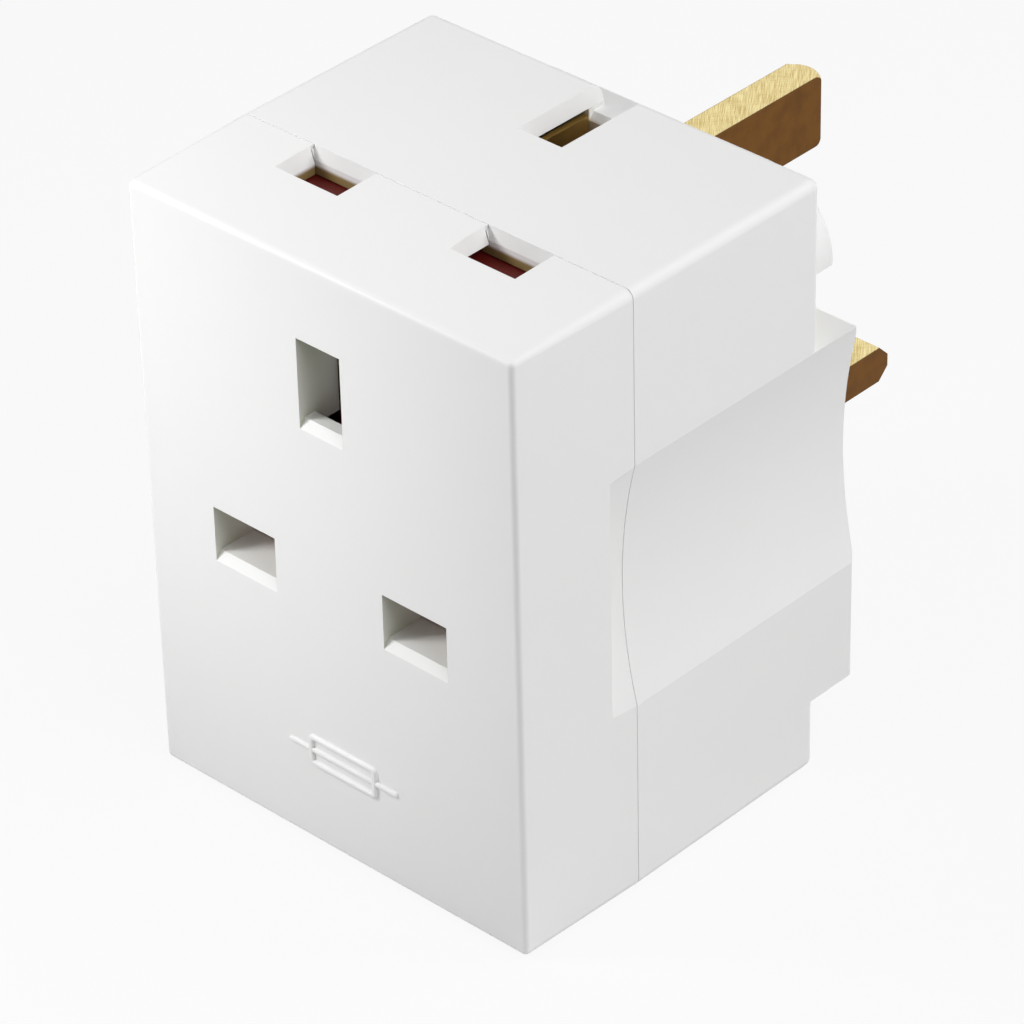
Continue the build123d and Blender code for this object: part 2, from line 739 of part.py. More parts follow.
# Fuse carrier: plate flush with the plug face, end cheeks and a cradle for the barrel
with BuildPart() as fuse_carrier:
    with BuildSketch(facing_wall(-carrier_plate)):
        span(-carrier_width / 2, carrier_width / 2, fuse_z - carrier_height / 2, fuse_z + carrier_height / 2)
    extrude(amount=carrier_plate)
    with BuildSketch(facing_front(-carrier_plate)):
        for side in (-1, 1):
            span(side * (carrier_width / 2 - cheek_thickness), side * carrier_width / 2,
                 fuse_z - carrier_height / 2, fuse_z + carrier_height / 2)
    extrude(amount=fuse_inset + fuse_diameter / 2 - carrier_plate)
    with BuildSketch(facing_front(-carrier_plate)):
        span(-cradle_length / 2, cradle_length / 2, fuse_z - carrier_height / 2, fuse_z + carrier_height / 2)
    extrude(amount=fuse_inset - carrier_plate)
    with BuildSketch(Plane.YZ):
        with Locations((fuse_y, fuse_z)):
            Circle(fuse_diameter / 2 - fuse_cap_wall + cradle_clearance)
    extrude(amount=cradle_length / 2, both=True, mode=Mode.SUBTRACT)
    with BuildSketch(facing_wall(0)):
        with Locations((0, fuse_z)):
            SlotOverall(pry_slot_length, pry_slot_width)
    extrude(amount=-pry_slot_depth, mode=Mode.SUBTRACT)
fuse_carrier.part.label = "fuse_carrier"

# Assembly screws, driven from the back through the rear posts into the cover's posts
with BuildPart() as assembly_screws:
    with BuildSketch(facing_wall(screw_seat_y)):
        with Locations(*screw_places):
            Circle(screw_head_diameter / 2)
    extrude(amount=screw_head_height)
    with BuildSketch(facing_front(screw_seat_y)):
        with Locations(*screw_places):
            Circle(screw_diameter / 2)
    extrude(amount=screw_grip + screw_bite)
assembly_screws.part.label = "assembly_screws"

# One file for each piece
os.makedirs("parts", exist_ok=True)
single_pieces = [
    front_cover, rear_body, earth_pin, line_bar, neutral_bar, earth_bar, line_fuse_clip, load_fuse_clip,
    fuse_barrel, fuse_end_caps, fuse_carrier, assembly_screws,
]
for piece in single_pieces:
    export_step(piece.part, f"parts/{piece.part.label}.step")
families = {"{}_pin": flat_pins, "{}_sleeve": sleeves, "{}_shutter": shutters, "{}_shutter_spring": springs}
for pattern, family in families.items():
    for name, solid in family.items():
        solid.label = pattern.format(name)
        export_step(solid, f"parts/{solid.label}.step")
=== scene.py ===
"""Looks of a fused plug-in adapter: its finishes, small dressing pieces, studio and camera."""

import logging
import math
from dataclasses import dataclass, field
from enum import Enum
from typing import Any, Dict, List, Mapping, Optional, Sequence, Tuple, Union

import bmesh
import bpy
from mathutils import Matrix, Vector

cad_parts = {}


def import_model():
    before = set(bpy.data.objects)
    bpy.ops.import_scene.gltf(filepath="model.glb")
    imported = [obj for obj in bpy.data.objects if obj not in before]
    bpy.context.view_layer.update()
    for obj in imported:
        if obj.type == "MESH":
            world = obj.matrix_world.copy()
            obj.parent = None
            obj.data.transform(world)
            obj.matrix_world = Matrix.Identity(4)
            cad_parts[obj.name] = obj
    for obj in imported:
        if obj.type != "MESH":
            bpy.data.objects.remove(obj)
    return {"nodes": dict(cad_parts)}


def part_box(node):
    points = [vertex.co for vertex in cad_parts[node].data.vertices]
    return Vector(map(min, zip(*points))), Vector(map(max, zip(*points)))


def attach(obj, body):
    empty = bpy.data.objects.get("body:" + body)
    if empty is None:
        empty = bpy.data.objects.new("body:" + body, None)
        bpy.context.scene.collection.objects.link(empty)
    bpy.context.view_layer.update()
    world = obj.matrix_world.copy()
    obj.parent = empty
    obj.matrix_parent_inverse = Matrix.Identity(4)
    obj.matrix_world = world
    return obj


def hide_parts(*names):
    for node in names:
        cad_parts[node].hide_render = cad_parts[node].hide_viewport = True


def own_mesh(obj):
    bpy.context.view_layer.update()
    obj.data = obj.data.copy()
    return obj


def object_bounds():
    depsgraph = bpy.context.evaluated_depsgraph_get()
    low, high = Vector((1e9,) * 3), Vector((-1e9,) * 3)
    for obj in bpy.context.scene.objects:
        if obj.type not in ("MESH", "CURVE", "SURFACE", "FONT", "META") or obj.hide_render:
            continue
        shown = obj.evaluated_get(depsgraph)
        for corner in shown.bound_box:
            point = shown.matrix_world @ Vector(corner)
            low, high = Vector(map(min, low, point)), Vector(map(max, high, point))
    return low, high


frame: Dict[str, Any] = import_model()
cad_box: Tuple[Vector, Vector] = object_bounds()

log = logging.getLogger("adapter")

MM = 0.001
QUARTERS = 4
QUARTER_TURN = math.radians(90.0)

Colour = Tuple[float, float, float, float]
Point = Tuple[float, float, float]
Pair = Tuple[float, float]
Operand = Union["Value", float]

WHITE: Colour = (1.0, 1.0, 1.0, 1.0)


class Slot(Enum):
    """The record's material slots that new pieces take."""

    WHITE = "white_plastic"
    SPRING = "spring_steel"
    SCREW = "screw_steel"


class Axis(Enum):
    """The frame's axes, each with its place in a point."""

    X = 0
    Y = 1
    Z = 2

    def vector(self) -> Vector:
        """The axis as a unit vector."""
        return Vector([float(place == self.value) for place in range(len(Axis))])


class Value:
    """A shader socket that takes part in Python arithmetic, where each step adds a Math node."""

    def __init__(self, sheet: "NodeSheet", socket: bpy.types.NodeSocket) -> None:
        """Keep the sheet of nodes and the socket."""
        self.sheet = sheet
        self.socket = socket

    def math(self, operation: str, *operands: Operand) -> "Value":
        """Add a Math node.

        Args:
            operation: The node's operation.
            operands: Values or numbers for its sockets, in order.

        Returns:
            The result of the operation.
        """
        return self.sheet.value("ShaderNodeMath", {"operation": operation}, dict(enumerate(operands)))

    def __add__(self, other: Operand) -> "Value":
        """self + other."""
        return self.math("ADD", self, other)

    def __radd__(self, other: float) -> "Value":
        """other + self."""
        return self.math("ADD", other, self)

    def __sub__(self, other: Operand) -> "Value":
        """self - other."""
        return self.math("SUBTRACT", self, other)

    def __rsub__(self, other: float) -> "Value":
        """other - self."""
        return self.math("SUBTRACT", other, self)

    def __mul__(self, other: Operand) -> "Value":
        """self * other."""
        return self.math("MULTIPLY", self, other)

    def __rmul__(self, other: float) -> "Value":
        """other * self."""
        return self.math("MULTIPLY", other, self)

    def __abs__(self) -> "Value":
        """The size of self without its sign."""
        return self.math("ABSOLUTE", self)

    def at_most(self, other: Operand) -> "Value":
        """The smaller of self and other."""
        return self.math("MINIMUM", self, other)

    def rise(self, low: float, high: float) -> "Value":
        """Go smoothly from 0 to 1 as self goes from low to high.

        Args:
            low: Where the result leaves 0.
            high: Where the result reaches 1.

        Returns:
            The eased result, kept from 0 to 1.
        """
        ends = {"Value": self, "From Min": low, "From Max": high, "To Min": 0.0, "To Max": 1.0}
        return self.sheet.value("ShaderNodeMapRange", {"interpolation_type": "SMOOTHSTEP"}, ends)


class NodeSheet:
    """A tree of shader nodes."""

    def __init__(self, tree: bpy.types.NodeTree) -> None:
        """Start with an empty tree.

        Args:
            tree: The tree of a material or a world.
        """
        self.tree = tree
        self.tree.nodes.clear()

    def node(self, kind: str, settings: Mapping[str, Any], inputs: Mapping[Any, Any]) -> bpy.types.Node:
        """Add a node.

        Args:
            kind: The node's type.
            settings: Its settings, set before its sockets are.
            inputs: A number, colour or Value for each socket, by name or place.

        Returns:
            The new node.
        """
        made = self.tree.nodes.new(kind)
        for name, setting in settings.items():
            setattr(made, name, setting)
        self.feed(made, inputs)
        return made

    def feed(self, made: bpy.types.Node, inputs: Mapping[Any, Any]) -> None:
        """Set or link sockets of a node.

        Args:
            made: The node.
            inputs: A number, colour or Value for each socket, by name or place.
        """
        for name, given in inputs.items():
            if isinstance(given, Value):
                self.tree.links.new(given.socket, made.inputs[name])
            else:
                made.inputs[name].default_value = given

    def value(
        self,
        kind: str,
        settings: Mapping[str, Any],
        inputs: Mapping[Any, Any],
        output: Union[int, str] = 0,
    ) -> Value:
        """Add a node and take one of its outputs.

        Args:
            kind: The node's type.
            settings: Its settings, set before its sockets are.
            inputs: A number, colour or Value for each socket, by name or place.
            output: The output's name or place.

        Returns:
            The output.
        """
        return Value(self, self.node(kind, settings, inputs).outputs[output])


class FinishSheet(NodeSheet):
    """The shader nodes of one finish, around one Principled shader."""

    grain_roughness: float = 0.55
    openness_samples: int = 12
    edge_samples: int = 6
    edge_range: Pair = (0.02, 0.2)
    mix_colours: Tuple[int, int] = (6, 7)
    mix_result: int = 2

    def __init__(self, name: str) -> None:
        """Start a material with its shader and output.

        Args:
            name: The material's name.
        """
        self.material = bpy.data.materials.new(name)
        self.material.use_nodes = True
        super().__init__(self.material.node_tree)
        self.shader = self.node("ShaderNodeBsdfPrincipled", {}, {})
        self.node("ShaderNodeOutputMaterial", {}, {"Surface": Value(self, self.shader.outputs[0])})

    def place(self) -> Value:
        """The point on the piece, in the frame's metres."""
        return self.value("ShaderNodeTexCoord", {}, {}, "Object")

    def stretched(self, scale: Point, turn: Point = (0.0, 0.0, 0.0)) -> Value:
        """The point on the piece, turned and then stretched.

        Args:
            scale: The stretch along each axis.
            turn: The turn about each axis, in radians.

        Returns:
            The changed point.
        """
        inputs = {"Vector": self.place(), "Rotation": turn, "Scale": scale}
        return self.value("ShaderNodeMapping", {"vector_type": "TEXTURE"}, inputs)

    def grain(self, scale: float, detail: float = 2.0, at: Optional[Value] = None) -> Value:
        """A cloudy grain from 0 to 1.

        Args:
            scale: How many clouds there are to a metre.
            detail: How many finer layers it has.
            at: The point to read it at, or None for the piece's own.

        Returns:
            The grain.
        """
        inputs = {
            "Vector": at or self.place(),
            "Scale": scale,
            "Detail": detail,
            "Roughness": self.grain_roughness,
        }
        return self.value("ShaderNodeTexNoise", {}, inputs, "Fac")

    def facing(self, axis: Axis) -> Value:
        """How far the surface faces along an axis, from -1 to 1."""
        normal = self.value("ShaderNodeNewGeometry", {}, {}, "Normal")
        return self.value("ShaderNodeSeparateXYZ", {}, {0: normal}, axis.value)

    def along(self, axis: Axis) -> Value:
        """The point's place along an axis, in metres."""
        return self.value("ShaderNodeSeparateXYZ", {}, {0: self.place()}, axis.value)

    def openness(self, reach: float) -> Value:
        """How open the surroundings are, from 0 in a deep recess to 1 on a free face.

        Args:
            reach: How far away something still closes a point in, in metres.

        Returns:
            The openness.
        """
        settings = {"samples": self.openness_samples, "only_local": True}
        return self.value("ShaderNodeAmbientOcclusion", settings, {"Distance": reach}, "AO")

    def edge(self, reach: float) -> Value:
        """How near a sharp edge the point is, from 0 on a free face to 1 at the edge.

        Args:
            reach: How far an edge reaches, in metres.

        Returns:
            The nearness.
        """
        rounded = self.value("ShaderNodeBevel", {"samples": self.edge_samples}, {"Radius": reach})
        normal = self.value("ShaderNodeNewGeometry", {}, {}, "Normal")
        settings = {"operation": "DOT_PRODUCT"}
        alike = self.value("ShaderNodeVectorMath", settings, {0: rounded, 1: normal}, "Value")
        return (1.0 - alike).rise(*self.edge_range)

    def mixed(self, share: Operand, first: Union[Value, Colour], second: Union[Value, Colour]) -> Value:
        """Mix two colours.

        Args:
            share: How much of the second there is.
            first: The colour at a share of 0.
            second: The colour at a share of 1.

        Returns:
            The mixed colour.
        """
        low, high = self.mix_colours
        inputs = {0: share, low: first, high: second}
        return self.value("ShaderNodeMix", {"data_type": "RGBA"}, inputs, self.mix_result)

    def relief(self, height: Value, depth: float) -> Value:
        """Turn a height into a bumped normal.

        Args:
            height: The height, from 0 to 1.
            depth: What a height of 1 stands for, in metres.

        Returns:
            The normal.
        """
        return self.value("ShaderNodeBump", {}, {"Height": height, "Distance": depth, "Strength": 1.0})

    def done(self, inputs: Mapping[str, Any]) -> bpy.types.Material:
        """Feed the shader and hand the material over."""
        self.feed(self.shader, inputs)
        return self.material


@dataclass(frozen=True)
class MouldedPlastic:
    """Satin moulded plastic with a fine orange peel and a faint flow, with a painted shade on its closed-in
    walls and a paler painted light on the upward floors among them.
    """

    name: str
    colour: Colour
    # The shade colour is painted shade for closed-in walls; the next colour is painted light for the upward
    # floors among them.
    shade: Colour
    painted_lit_floor: Colour
    roughness: float
    mottle: float = 0.012
    texture_depth: float = 0.004 * MM
    # The painted shade's reach, share and start below the top, how closed a face must be to take it, and how
    # upward a face must be to take the painted floor light instead.
    shade_reach: float = 9.0 * MM
    shade_share: float = 0.9
    shade_start: Pair = (1.0 * MM, 5.0 * MM)
    painted_shade_range: Pair = (0.1, 0.6)
    painted_lit_floor_range: Pair = (0.3, 0.9)
    flow_scale: float = 55.0
    flow_detail: float = 3.0
    peel_scale: float = 900.0
    peel_detail: float = 1.0
    peel_share: float = 0.6
    fine_peel_scale: float = 4200.0
    sheen_scale: float = 260.0
    sheen_change: float = 0.1
    specular: float = 0.4

    def painted_shade_colour(self, sheet: FinishSheet) -> Union[Value, Colour]:
        """The painted shade of walls that are closed in."""
        return self.shade

    def skin(self, sheet: FinishSheet) -> Value:
        """The colour of the surface: its flow, with a painted shade on closed-in walls and a paler painted
        light on their upward floors.

        Args:
            sheet: The finish's nodes.

        Returns:
            The colour.
        """
        paler = tuple(min(1.0, part * (1.0 + self.mottle)) for part in self.colour[:3]) + (1.0,)
        darker = tuple(part * (1.0 - self.mottle) for part in self.colour[:3]) + (1.0,)
        flow = sheet.mixed(sheet.grain(self.flow_scale, self.flow_detail), darker, paler)
        # Painted shade: closed-in places below the top take the shade colour, and their upward floors a
        # paler painted light.
        closed = (1.0 - sheet.openness(self.shade_reach)).rise(*self.painted_shade_range) * self.shade_share
        painted_lit_floor = sheet.facing(Axis.Z).rise(*self.painted_lit_floor_range)
        sunk = (cad_box[1].z - sheet.along(Axis.Z)).rise(*self.shade_start)
        return sheet.mixed(closed * sunk, flow, sheet.mixed(painted_lit_floor, self.painted_shade_colour(sheet), self.painted_lit_floor))

    def material(self) -> bpy.types.Material:
        """Make the finish's nodes.

        Returns:
            The material.
        """
        sheet = FinishSheet(self.name)
        peel = self.peel_share * sheet.grain(self.peel_scale, self.peel_detail)
        fine_peel = (1.0 - self.peel_share) * sheet.grain(self.fine_peel_scale)
        return sheet.done({
            "Base Color": self.skin(sheet),
            "Roughness": self.roughness + (sheet.grain(self.sheen_scale) - 0.5) * self.sheen_change,
            "Normal": sheet.relief(peel + fine_peel, self.texture_depth),
            "Specular IOR Level": self.specular,
        })


@dataclass(frozen=True)
class ShellPlastic(MouldedPlastic):
    """The mouldings' white plastic, with a painted olive-brown shade deep inside its openings, past the
    wall's thickness.
    """

    # Painted olive-brown shade for points deep inside the openings.
    inside: Colour = (0.27, 0.19, 0.075, 1.0)
    wall: float = 1.7 * MM
    front_throat: float = 4.8 * MM
    front_fade: float = 0.5
    side_wall: float = 2.5 * MM
    change: float = 0.5 * MM
    # Paler painted light on closed-in walls further behind the front face.
    painted_lit_shade: Colour = (0.82, 0.815, 0.74, 1.0)
    painted_lit_range: Pair = (1.0 * MM, 5.0 * MM)

    def painted_shade_colour(self, sheet: FinishSheet) -> Value:
        """The painted shade of closed-in walls, made paler further behind the front face by a painted light
        that stands for light coming through the plastic.
        """
        behind = sheet.along(Axis.Y) - cad_box[0].y
        return sheet.mixed(behind.rise(*self.painted_lit_range), self.shade, self.painted_lit_shade)

    def skin(self, sheet: FinishSheet) -> Value:
        """The colour of the surface, with a painted olive-brown shade deep inside its openings.

        Args:
            sheet: The finish's nodes.

        Returns:
            The colour.
        """
        low, high = cad_box
        across, along, upward = (sheet.along(axis) for axis in Axis)
        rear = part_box("earth_pin")[0][1]
        # How deep a point lies inside an opening; past the wall it takes the painted olive-brown shade.
        depth = (high.z - upward).at_most(upward - low.z) - self.wall
        depth = depth.at_most((along - (low.y + self.front_throat)) * self.front_fade)
        depth = depth.at_most(high.x - self.side_wall - abs(across))
        depth = depth.at_most(rear - along)
        return sheet.mixed(depth.rise(0.0, self.change), super().skin(sheet), self.inside)


@dataclass(frozen=True)
class MilledBrass:
    """Brass pin stock: its narrow edges milled bright across, its drawn flanks in a painted dark-brown
    shade.
    """

    name: str
    bright: Colour = (0.99, 0.88, 0.475, 1.0)
    line: Colour = (0.46, 0.29, 0.050, 1.0)
    # Painted dark-brown shade for the flanks, mottled with the darker stain colour.
    painted_flank_shade: Colour = (0.185, 0.076, 0.010, 1.0)
    stain: Colour = (0.125, 0.050, 0.007, 1.0)
    line_breadth: float = 0.065 * MM
    line_length: float = 2.4 * MM
    line_slant: float = math.radians(37.0)
    cross_slant: float = math.radians(-41.0)
    # Darker along sharp edges.
    dark_edge_line: Colour = (0.10, 0.046, 0.010, 1.0)
    edge_reach: float = 0.22 * MM
    edge_share: float = 0.8
    line_depth: float = 0.012 * MM
    line_detail: float = 3.0
    flank_range: Pair = (0.45, 0.85)
    cut_range: Pair = (0.3, 0.7)
    cut_share: float = 0.75
    cross_range: Pair = (0.4, 0.8)
    cross_share: float = 0.35
    stain_scale: float = 420.0
    stain_range: Pair = (0.35, 0.75)
    stain_share: float = 0.7
    fine_stain_scale: float = 2600.0
    roughness: float = 0.24
    cut_roughness: float = 0.14
    flank_roughness: float = 0.2

    def lines(self, sheet: FinishSheet, slant: float) -> Value:
        """The cutter's fine lines across the milled edges.

        Args:
            sheet: The finish's nodes.
            slant: How far the lines are turned, in radians.

        Returns:
            The lines, from 0 to 1.
        """
        stretch = (self.line_breadth, self.line_length, self.line_length)
        return sheet.grain(1.0, self.line_detail, sheet.stretched(stretch, (0.0, 0.0, slant)))

    def material(self) -> bpy.types.Material:
        """Make the finish's nodes.

        Returns:
            The material.
        """
        sheet = FinishSheet(self.name)
        flank = abs(sheet.facing(Axis.X)).rise(*self.flank_range)
        cut = self.lines(sheet, self.line_slant).rise(*self.cut_range) * self.cut_share
        cross = self.lines(sheet, self.cross_slant).rise(*self.cross_range) * self.cross_share
        milling = (cut + cross) * (1.0 - flank)
        stain = sheet.grain(self.stain_scale, self.line_detail).rise(*self.stain_range) * self.stain_share
        stain = stain + sheet.grain(self.fine_stain_scale) * (1.0 - self.stain_share)
        milled = sheet.mixed(milling, self.bright, self.line)
        # The flanks take the painted dark-brown shade, mottled with the stain colour.
        body = sheet.mixed(flank, milled, sheet.mixed(stain, self.painted_flank_shade, self.stain))
        # Darker along sharp edges.
        edge_darkening = sheet.edge(self.edge_reach) * self.edge_share
        return sheet.done({
            "Base Color": sheet.mixed(edge_darkening, body, self.dark_edge_line),
            "Metallic": 1.0,
            "Roughness": self.roughness + milling * self.cut_roughness + flank * self.flank_roughness,
            "Normal": sheet.relief(milling, self.line_depth),
        })


@dataclass(frozen=True)
class RolledMetal:
    """Rolled sheet metal with fine drawing lines and dull stains."""

    name: str
    colour: Colour
    dull: Colour
    roughness: float
    grain_along: Axis = Axis.Z
    line_depth: float = 0.003 * MM
    line_breadth: float = 0.16 * MM
    line_length: float = 6.0 * MM
    line_detail: float = 3.0
    line_share: float = 0.3
    line_roughness: float = 0.12
    stain_scale: float = 300.0
    stain_range: Pair = (0.4, 0.8)
    stain_share: float = 0.5

    def material(self) -> bpy.types.Material:
        """Make the finish's nodes.

        Returns:
            The material.
        """
        sheet = FinishSheet(self.name)
        stretch = [self.line_breadth] * len(Axis)
        stretch[self.grain_along.value] = self.line_length
        lines = sheet.grain(1.0, self.line_detail, sheet.stretched(tuple(stretch)))
        stain = sheet.grain(self.stain_scale, self.line_detail).rise(*self.stain_range)
        dulled = stain * self.stain_share + lines * self.line_share
        return sheet.done({
            "Base Color": sheet.mixed(dulled, self.colour, self.dull),
            "Metallic": 1.0,
            "Roughness": self.roughness + lines * self.line_roughness,
            "Normal": sheet.relief(lines, self.line_depth),
        })


@dataclass(frozen=True)
class GlazedCeramic:
    """The fuse's fired tube, glazed, with a faint speckle."""

    name: str
    colour: Colour = (0.78, 0.76, 0.70, 1.0)
    speck: Colour = (0.55, 0.51, 0.44, 1.0)
    speck_scale: float = 2600.0
    speck_range: Pair = (0.62, 0.75)
    speck_share: float = 0.5
    cloud_scale: float = 200.0
    cloud_share: float = 0.12
    roughness: float = 0.22
    glaze_scale: float = 700.0
    glaze_change: float = 0.12
    wave_scale: float = 900.0
    wave_depth: float = 0.006 * MM

    def material(self) -> bpy.types.Material:
        """Make the finish's nodes.

        Returns:
            The material.
        """
        sheet = FinishSheet(self.name)
        specks = sheet.grain(self.speck_scale).rise(*self.speck_range) * self.speck_share
        clouds = sheet.grain(self.cloud_scale) * self.cloud_share
        return sheet.done({
            "Base Color": sheet.mixed(specks + clouds, self.colour, self.speck),
            "Roughness": self.roughness + sheet.grain(self.glaze_scale) * self.glaze_change,
            "Normal": sheet.relief(sheet.grain(self.wave_scale), self.wave_depth),
        })


@dataclass
class Piece:
    """A mesh being made for the object, with what it stands for."""

    name: str
    slot: Slot
    body: str
    sharp: float = math.radians(38.0)
    mesh: bmesh.types.BMesh = field(default_factory=bmesh.new)

    def quads(self, rings: Sequence[Sequence[bmesh.types.BMVert]]) -> None:
        """Skin closed rings of corners with faces.

        Args:
            rings: The rings, all of one length.
        """
        count = len(rings[0])
        for low, high in zip(rings, rings[1:]):
            for place in range(count):
                following = (place + 1) % count
                self.mesh.faces.new((low[place], low[following], high[following], high[place]))

    def swept(self, sections: Sequence[Sequence[Vector]], looped: bool = False) -> None:
        """Skin closed sections along a path, with flat ends unless the path is a loop.

        Args:
            sections: The corners of each section.
            looped: Whether the path runs round to its start.
        """
        rows = [[self.mesh.verts.new(corner) for corner in section] for section in sections]
        self.quads(rows + [rows[0]] if looped else rows)
        if not looped:
            self.mesh.faces.new(list(reversed(rows[0])))
            self.mesh.faces.new(rows[-1])

    def round_edges(self, ring: Sequence[bmesh.types.BMVert]) -> List[bmesh.types.BMEdge]:
        """The edges that join a closed ring of corners, in order."""
        return [self.mesh.edges.get(pair) for pair in zip(ring, [*ring[1:], ring[0]])]

    def finished(self, material: bpy.types.Material) -> bpy.types.Object:
        """Turn the mesh into an object that rides on its body, with its sharper edges crisp.

        Args:
            material: The finish.

        Returns:
            The object.
        """
        bmesh.ops.recalc_face_normals(self.mesh, faces=self.mesh.faces[:])
        for edge in self.mesh.edges:
            edge.smooth = len(edge.link_faces) == 2 and edge.calc_face_angle(0.0) < self.sharp
        for face in self.mesh.faces:
            face.smooth = True
        data = bpy.data.meshes.new(self.name)
        self.mesh.to_mesh(data)
        self.mesh.free()
        data.materials.append(material)
        made = bpy.data.objects.new(self.name, data)
        bpy.context.scene.collection.objects.link(made)
        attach(made, self.body)
        return made


def dress(material: bpy.types.Material, *nodes: str) -> None:
    """Give solids of the frame their finish.

    Args:
        material: The finish.
        nodes: The solids' names.
    """
    for name in nodes:
        solid = frame["nodes"][name]
        solid.data.materials.clear()
        solid.data.materials.append(material)
        log.info("%s: %s", name, material.name)


@dataclass
class Shell:
    """The two white mouldings, with the raised fuse sign on the cover's face."""

    sign_centre_x: float = 0.9 * MM
    sign_centre_z: float = -20.45 * MM
    sign_width: float = 8.4 * MM
    sign_height: float = 3.0 * MM
    sign_reach: float = 14.2 * MM
    sign_corner: float = 0.35 * MM
    stroke: float = 0.62 * MM
    proud: float = 0.34 * MM
    rooted: float = 0.05 * MM
    ridge_half: Tuple[Pair, ...] = ((-1.0, 0.0), (-0.9, 0.5), (-0.7, 0.84), (-0.38, 1.0))
    line_share: float = 0.9
    line_ends: Tuple[Pair, ...] = ((-1.0, 0.62), (-0.98, 1.0), (0.98, 1.0), (1.0, 0.62))
    corner_steps: int = 6
    plastic: ShellPlastic = ShellPlastic(
        # White, then a grey-green painted shade for closed-in walls, then a paler painted light for their
        # upward floors.
        "shell_plastic", (0.866, 0.866, 0.862, 1.0), (0.52, 0.53, 0.43, 1.0), (0.93, 0.925, 0.905, 1.0),
        roughness=0.46,
    )

    def ridge(self, at: Vector, across: Vector, proud: float) -> List[Vector]:
        """The rounded section of a raised stroke.

        Args:
            at: The middle of its foot, on the cover's face.
            across: Its width direction.
            proud: How far it stands off the face.

        Returns:
            The section's corners.
        """
        shape = [(-1.0, -self.rooted)] + [(side, height * proud) for side, height in self.ridge_half]
        shape += [(-side, height) for side, height in reversed(shape)]
        half = self.stroke / 2
        return [at + across * (half * side) - Axis.Y.vector() * height for side, height in shape]

    def frame_path(self, face: float) -> List[Tuple[Vector, Vector]]:
        """The round-cornered frame of the sign.

        Args:
            face: The cover's face, along Y.

        Returns:
            Points along the frame, each with the direction outwards.
        """
        path = []
        centre = Vector((self.sign_centre_x, face, self.sign_centre_z))
        reach = Vector((self.sign_width, 0.0, self.sign_height)) / 2
        inset = self.sign_corner
        for quarter, (x, z) in enumerate(((1, 1), (-1, 1), (-1, -1), (1, -1))):
            middle = centre + Vector((x * (reach.x - inset), 0.0, z * (reach.z - inset)))
            for step in range(self.corner_steps + 1):
                angle = QUARTER_TURN * (quarter + step / self.corner_steps)
                outward = Vector((math.cos(angle), 0.0, math.sin(angle)))
                path.append((middle + outward * inset, outward))
        return path

    def sign(self, material: bpy.types.Material) -> bpy.types.Object:
        """Raise the common sign for a fuse, a framed line, on the cover's face.

        Args:
            material: The cover's finish.

        Returns:
            The sign.
        """
        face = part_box("front_cover")[0][1]
        piece = Piece("fuse_sign", Slot.WHITE, "housing")
        piece.swept([self.ridge(at, outward, self.proud) for at, outward in self.frame_path(face)], True)
        upward = Axis.Z.vector()
        ends = []
        for step, width in self.line_ends:
            at = Vector((self.sign_centre_x + step * self.sign_reach / 2, face, self.sign_centre_z))
            ends.append(self.ridge(at, upward * width, self.proud * self.line_share))
        piece.swept(ends)
        return piece.finished(material)

    def build(self) -> None:
        """Dress the mouldings and raise the sign."""
        material = self.plastic.material()
        dress(material, "front_cover", "rear_body")
        log.info("%s: raised on the cover", self.sign(material).name)


@dataclass
class Plug:
    """The three pins and the sleeves of the two live ones."""

    brass: MilledBrass = MilledBrass("pin_brass")
    sleeve: MouldedPlastic = MouldedPlastic(
        # Black, then a darker painted shade for closed-in walls, then a lighter painted shade for their
        # upward floors.
        "sleeve_black", (0.032, 0.033, 0.036, 1.0), (0.02, 0.02, 0.02, 1.0), (0.03, 0.03, 0.03, 1.0),
        roughness=0.42, mottle=0.1,
    )

    def build(self) -> None:
        """Dress the pins and sleeves."""
        dress(self.brass.material(), "earth_pin", "line_pin", "neutral_pin")
        dress(self.sleeve.material(), "line_sleeve", "neutral_sleeve")


@dataclass
class BowSpring:
    """A bowed leaf that sets a shutter back over its holes; the real leaf flattens as the shutter opens, and
    here it keeps its resting bow.
    """

    socket: str
    rise: Axis
    width: Axis
    travel: float = 5.8 * MM
    leaf: float = 0.4 * MM
    leaf_outline: Tuple[Pair, ...] = (
        (1.0, -0.7), (1.0, 0.7), (0.7, 1.0), (-0.7, 1.0),
        (-1.0, 0.7), (-1.0, -0.7), (-0.7, -1.0), (0.7, -1.0),
    )
    steps: int = 36

    def build(self, material: bpy.types.Material) -> bpy.types.Object:
        """Bow the leaf inside its solid's box.

        Args:
            material: The spring's finish.

        Returns:
            The leaf.
        """
        node = f"{self.socket}_shutter_spring"
        low, high = (Vector(corner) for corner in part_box(node))
        upward, sideways, across = self.rise.vector(), self.width.vector(), Axis.X.vector()
        half = (high.x - low.x) / 2 - self.leaf / 2
        seat = low[self.rise.value] + self.leaf / 2
        crown = high[self.rise.value] - self.leaf / 2
        sag = crown - seat
        radius = (half * half + sag * sag) / (2 * sag)
        centre = across * ((low.x + high.x) / 2) + upward * (crown - radius)
        middle = sideways * ((low + high)[self.width.value] / 2)
        breadth = (high - low)[self.width.value] / 2
        reach = math.asin(half / radius)
        sections = []
        for step in range(self.steps + 1):
            angle = reach * (2.0 * step / self.steps - 1.0)
            out = across * math.sin(angle) + upward * math.cos(angle)
            at = centre + middle + out * radius
            sections.append([
                at + out * (self.leaf / 2 * thick) + sideways * (breadth * wide)
                for thick, wide in self.leaf_outline
            ])
        piece = Piece(f"{self.socket}_bow_spring", Slot.SPRING, "housing")
        piece.swept(sections)
        made = piece.finished(material)
        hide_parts(node)
        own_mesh(made)
        return made


